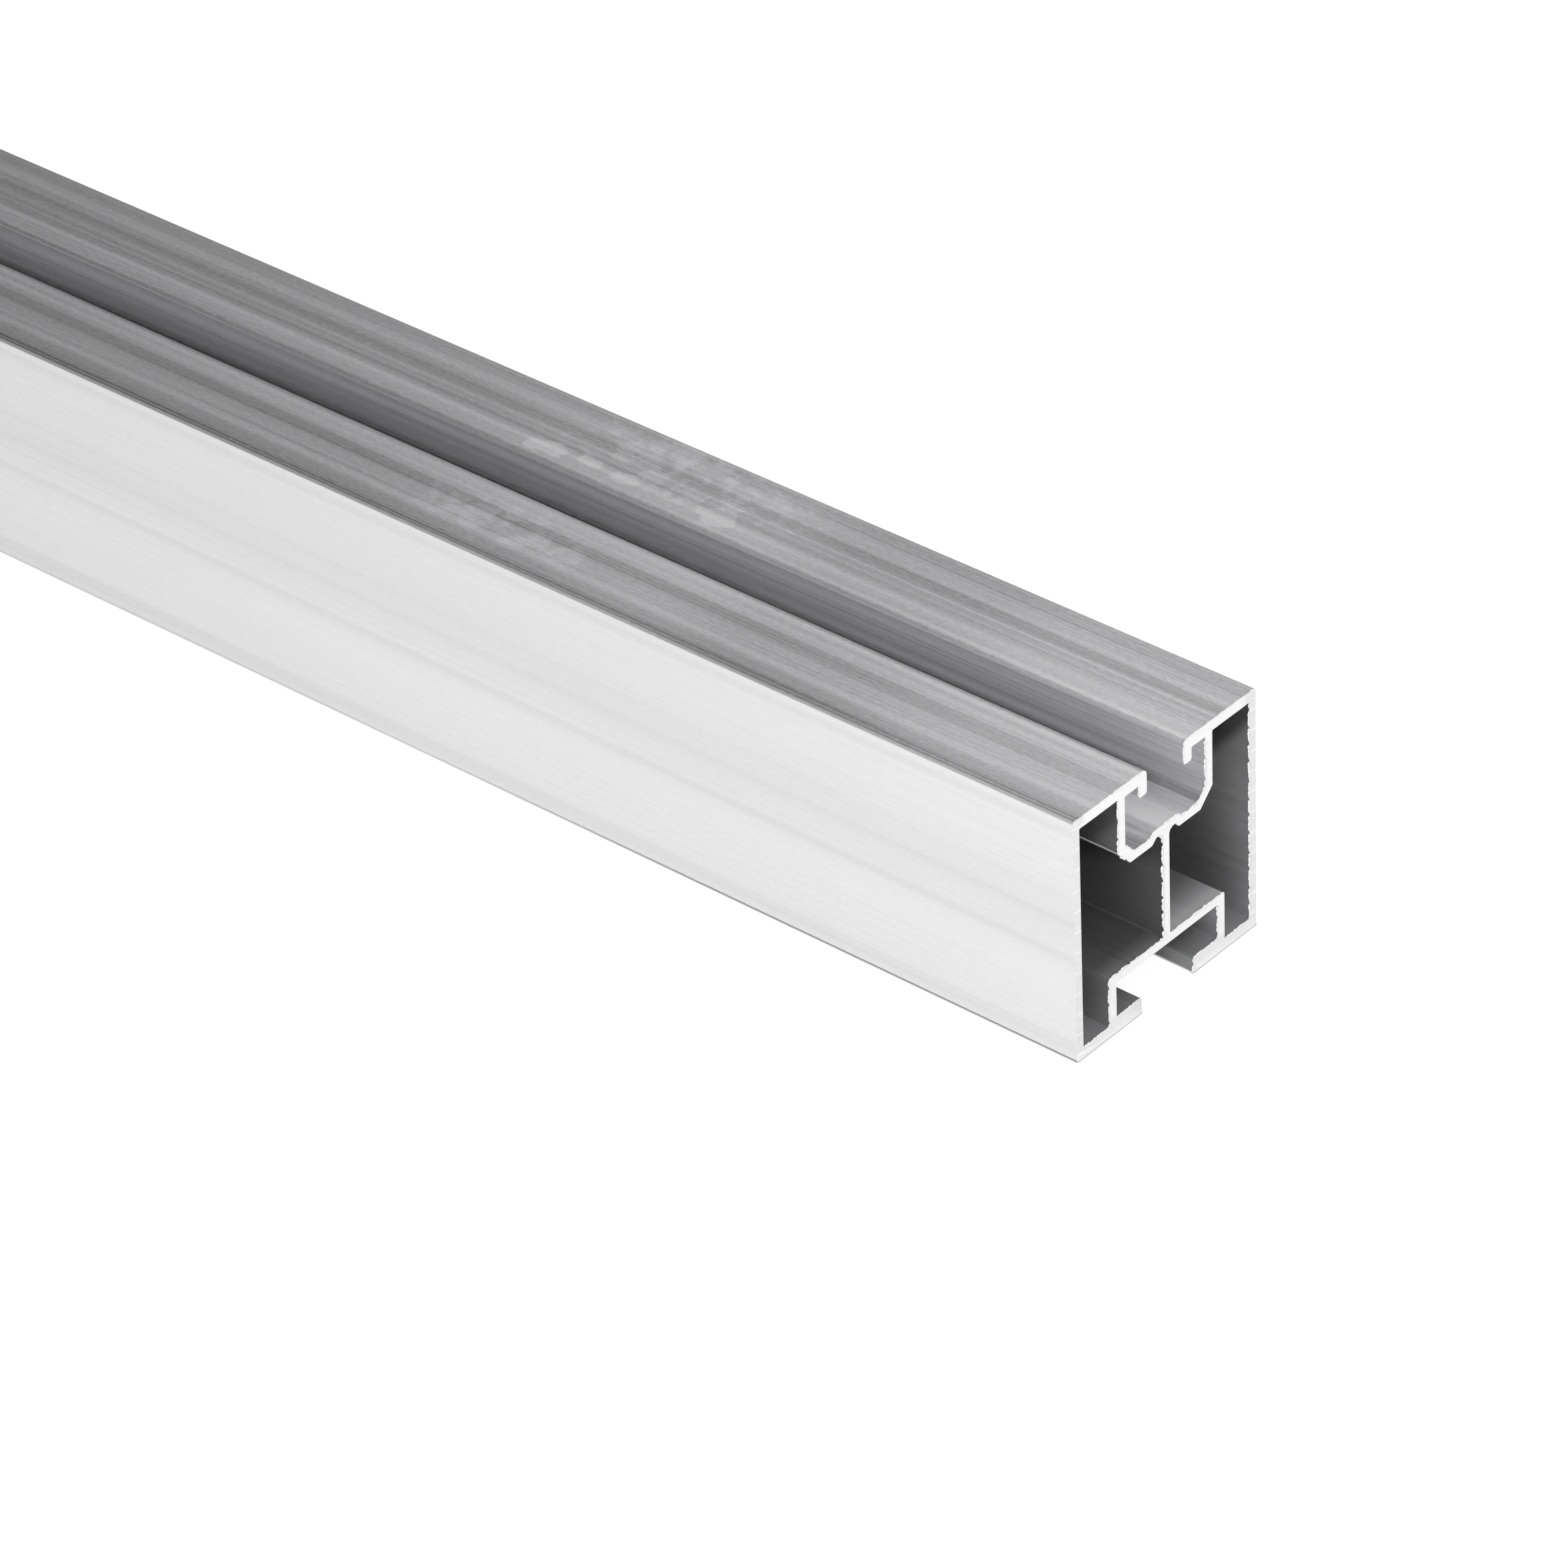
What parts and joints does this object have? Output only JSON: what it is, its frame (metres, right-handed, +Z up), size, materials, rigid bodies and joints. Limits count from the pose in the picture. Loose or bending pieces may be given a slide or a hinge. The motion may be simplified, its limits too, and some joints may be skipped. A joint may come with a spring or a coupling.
{
  "type": "solar mounting rail",
  "caption": "Square hollow extruded aluminium rail with a hooked slot along its top and a wide-lipped slot along its underside, sawn square at both ends.",
  "frame": {"origin": "bottom centre of the rail: halfway along it, on its middle plane, at its underside", "axes": "+X along the rail towards the sawn end that the picture shows, +Y across it, +Z up towards the hooked slot"},
  "size_m": [1.1, 0.04, 0.04],
  "materials": {
    "mill_aluminium": "mill-finish extruded aluminium, satin grey with fine lines drawn along the rail, and bright sawn ends"
  },
  "bodies": {
    "root": {"rail": "mill_aluminium"}
  },
  "joints": []
}
